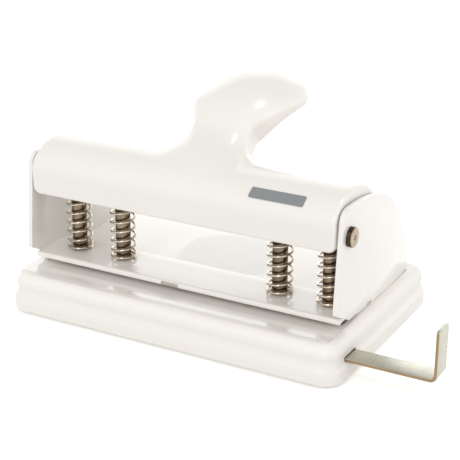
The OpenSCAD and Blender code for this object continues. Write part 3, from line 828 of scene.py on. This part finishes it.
# ---------------------------------------------------------------- paper guide strip
def strip_mesh():
    """The flat strip, its bend and its upright with a rounded tip."""
    strip_t, bend, tip_r, edge_r = 1.2, 2.8, 1.5, 0.28
    half_w = (strip_hi[1] - strip_lo[1]) / 2
    mid_y = (strip_lo[1] + strip_hi[1]) / 2
    x_end, z_low, top = strip_hi[0], strip_lo[2], strip_hi[2] - tip_r
    mid_r = bend - strip_t / 2
    # Middle line: x, z and the angle it has turned through
    flat = x_end - bend - strip_lo[0]
    path = [(strip_lo[0] + flat * k / 30, z_low + strip_t / 2, 0.0) for k in range(31)]
    for k in range(1, 13):
        a = math.radians(90 * k / 12)
        path.append((x_end - bend + mid_r * math.sin(a), z_low + bend - mid_r * math.cos(a), a))
    start = path[-1][1]
    for k in range(1, 9):
        path.append((x_end - strip_t / 2, start + (top - start) * k / 8, math.pi / 2))
    for k in range(1, 11):
        path.append((x_end - strip_t / 2, top + tip_r * math.sin(math.pi / 2 * k / 10), math.pi / 2))
    points, rings = [], []
    for x, z, a in path:
        narrow = tip_r - math.sqrt(max(0.0, tip_r ** 2 - (z - top) ** 2)) if z > top else 0.0
        w, h = half_w - narrow, strip_t / 2
        ring = fillet([(-w, -h), (w, -h), (w, h), (-w, h)], [edge_r] * 4, 3)
        rings.append(list(range(len(points), len(points) + len(ring))))
        points += [(x - off * math.sin(a), mid_y + across, z + off * math.cos(a)) for across, off in ring]
    mesh = mesh_from("strip", points, bridge(rings) + [rings[0], rings[-1][::-1]])
    rivet_lo, rivet_hi = node_box("guide_rivet")
    hole = lathe([(0.9, -3), (0.9, 3)], ((rivet_lo[0] + rivet_hi[0]) / 2, mid_y, z_low), (0, 0, 1), 24)
    return cut(mesh, [hole])


add_piece("guide_strip", strip_mesh(), plated, 40, "paper_guide", "paper_guide")


# ---------------------------------------------------------------- label on the cover
def label_mesh():
    """A thin rounded plate, drawn flat and bent round the cover."""
    corner_r, thickness, gap, strips = 0.6, 0.22, 0.03, 8
    a0 = math.radians(angle_from(cover_c, label_hi[1:]))
    a1 = math.radians(angle_from(cover_c, label_lo[1:]))
    half_u, half_v = (label_hi[0] - label_lo[0]) / 2, abs(a1 - a0) * cover_r / 2
    mid_x, mid_a = (label_hi[0] + label_lo[0]) / 2, (a0 + a1) / 2
    outline = fillet([(-half_u, -half_v), (half_u, -half_v), (half_u, half_v), (-half_u, half_v)],
                     [corner_r] * 4, 4)
    bm = bmesh.new()
    bm.faces.new([bm.verts.new((u, v, 0)) for u, v in outline])
    for k in range(1, strips):
        bmesh.ops.bisect_plane(bm, geom=bm.verts[:] + bm.edges[:] + bm.faces[:],
                               plane_co=(0, half_v * (2 * k / strips - 1), 0), plane_no=(0, 1, 0))
    bmesh.ops.solidify(bm, geom=bm.faces[:], thickness=-thickness)
    for v in bm.verts:
        u, w, h = v.co
        a = mid_a + w / cover_r
        rad = cover_r + gap + abs(h)
        v.co = Vector((mid_x + u, cover_c[0] + rad * math.cos(a), cover_c[1] + rad * math.sin(a))) * MM
    bmesh.ops.recalc_face_normals(bm, faces=bm.faces)
    mesh = bpy.data.meshes.new("label")
    bm.to_mesh(mesh)
    bm.free()
    return mesh


add_piece("cover_label", label_mesh(), label_ink, 40, "lever", "label_plate")


# ---------------------------------------------------------------- pivot rivets
def rivet_profile(tip, seat, face, head_r):
    """Radius and height of the shank, the rounded head and the dimple in it."""
    shank_r, round_r = 2.5, 0.5
    turn = [math.radians(90 * k / 6) for k in range(7)]
    return ([(0, tip), (shank_r - 0.3, tip), (shank_r, tip + 0.3), (shank_r, seat)]
            + [(head_r - 0.1, seat), (head_r, seat + 0.1)]
            + [(head_r - round_r * (1 - math.cos(a)), face - round_r * (1 - math.sin(a))) for a in turn]
            + [(head_r - 1.2, face - 0.02), (1.1, face - 0.1), (0.9, face - 0.35), (0, face - 0.4)])


for side_name, sign in (("left", -1), ("right", 1)):
    lo, hi = node_box(f"pivot_pin_{side_name}")
    tip, face = sorted((sign * lo[0], sign * hi[0]))
    pin = lathe(rivet_profile(tip, frame_hi[0], face, (hi[1] - lo[1]) / 2), (0, pivot_y, pivot_z),
                (sign, 0, 0), 56)
    add_piece(f"pivot_rivet_{side_name}", pin, rivet, 30, "base", f"pivot_pin_{side_name}")


# ---------------------------------------------------------------- stage, light and camera
aim = Vector((0.0, 0.017, 0.04))


def area(name, place, width, height, power):
    """An area lamp that points at the middle of the punch."""
    data = bpy.data.lights.new(name, "AREA")
    data.energy = power
    data.shape = "RECTANGLE"
    data.size, data.size_y = width, height
    ob = in_scene(name, data)
    ob.location = Vector(place)
    ob.rotation_euler = (aim - ob.location).to_track_quat("-Z", "Y").to_euler()


floor_mesh = bpy.data.meshes.new("floor")
floor_mesh.from_pydata([(-6, -6, 0), (6, -6, 0), (6, 6, 0), (-6, 6, 0)], [], [(0, 1, 2, 3)])
floor_mat = simple("floor_paper", (0.72, 0.72, 0.72), (0.71, 0.71, 0.71), 0.9, 40, 0.02)
floor_tree = floor_mat.node_tree
floor_shader = next(n for n in floor_tree.nodes if n.type == "BSDF_PRINCIPLED")
floor_shader.inputs["Specular IOR Level"].default_value = 0.1
floor_shader.inputs["Emission Color"].default_value = (1, 0.97, 0.93, 1)
# The sheet glows for the camera and in reflections only, so that it stays a clean white
rays = floor_tree.nodes.new("ShaderNodeLightPath")
seen = math_node(floor_tree, "MAXIMUM", rays.outputs["Is Camera Ray"], rays.outputs["Is Glossy Ray"])
link(floor_tree, math_node(floor_tree, "MULTIPLY", seen, 0.5), floor_shader.inputs["Emission Strength"])
floor_mesh.materials.append(floor_mat)
in_scene("floor", floor_mesh)


def tent_world(level, fall, right, back, back_fall):
    """White tent: dimmer overhead and underfoot, brighter to the right, with a bright low backdrop."""
    world = bpy.data.worlds.new("studio")
    world.use_nodes = True
    tree = world.node_tree
    shade = tree.nodes["Background"]
    tex = tree.nodes.new("ShaderNodeTexCoord")
    split = tree.nodes.new("ShaderNodeSeparateXYZ")
    link(tree, tex.outputs["Generated"], split.inputs[0])
    x, y, z = (split.outputs[k] for k in ("X", "Y", "Z"))

    def node(op, a, b):
        return math_node(tree, op, a, b)

    high = node("MAXIMUM", z, 0.0)
    ahead = node("ADD", node("MULTIPLY", high, -fall), node("MULTIPLY", x, right))
    ahead = node("ADD", ahead, node("MINIMUM", z, 0.0))
    behind = node("ADD", node("MULTIPLY", high, -back_fall), back)
    behind = node("MULTIPLY", node("MAXIMUM", y, 0.0), behind)
    total = node("ADD", node("ADD", ahead, behind), level)
    shade.inputs[0].default_value = (1, 1, 1, 1)
    link(tree, node("MAXIMUM", total, 0.05), shade.inputs[1])
    bpy.context.scene.world = world


tent_world(level=1.21, fall=0.60, right=0.04, back=0.7, back_fall=1.9)

# A small lamp overhead, a little behind, that casts the palm rest's shadow
lamp = bpy.data.lights.new("ceiling_lamp", "SUN")
lamp.energy = 0.44
lamp.angle = math.radians(1.4)
tilt = math.radians(13)
down = Vector((0.0, -math.sin(tilt), -math.cos(tilt)))
in_scene("ceiling_lamp", lamp).rotation_euler = down.to_track_quat("-Z", "Y").to_euler()

# A tall lamp in front gives the ridge of the handle its highlight
area("strip_lamp", (0.06, -0.98, 0.80), 0.3, 1.0, 3.3)
area("side_lamp", (1.15, 0.1, 0.3), 0.5, 0.5, 1.1)
# A bright panel that the glossy sheet mirrors towards the camera
area("back_panel", (-0.40, 0.75, 0.40), 0.95, 0.6, 1.4)

# Camera: from the front right and above
azimuth, elevation, roll = (math.radians(a) for a in (28.563, 21.938, 0.122))
distance = 0.56805
target = Vector((-0.007549, 0.042344, 0.021754))
back = Vector((math.sin(azimuth) * math.cos(elevation), -math.cos(azimuth) * math.cos(elevation),
               math.sin(elevation)))
right = Vector((math.cos(azimuth), math.sin(azimuth), 0))
up = back.cross(right)
right, up = right * math.cos(roll) + up * math.sin(roll), up * math.cos(roll) - right * math.sin(roll)
camera_data = bpy.data.cameras.new("camera")
camera_data.sensor_width = 36
camera_data.lens = 106.08
camera = in_scene("camera", camera_data)
place = target + back * distance
camera.matrix_world = Matrix((
    (right.x, up.x, back.x, place.x), (right.y, up.y, back.y, place.y),
    (right.z, up.z, back.z, place.z), (0, 0, 0, 1)))
bpy.context.scene.camera = camera
bpy.context.scene.view_settings.view_transform = "Standard"
bpy.context.scene.view_settings.look = "None"
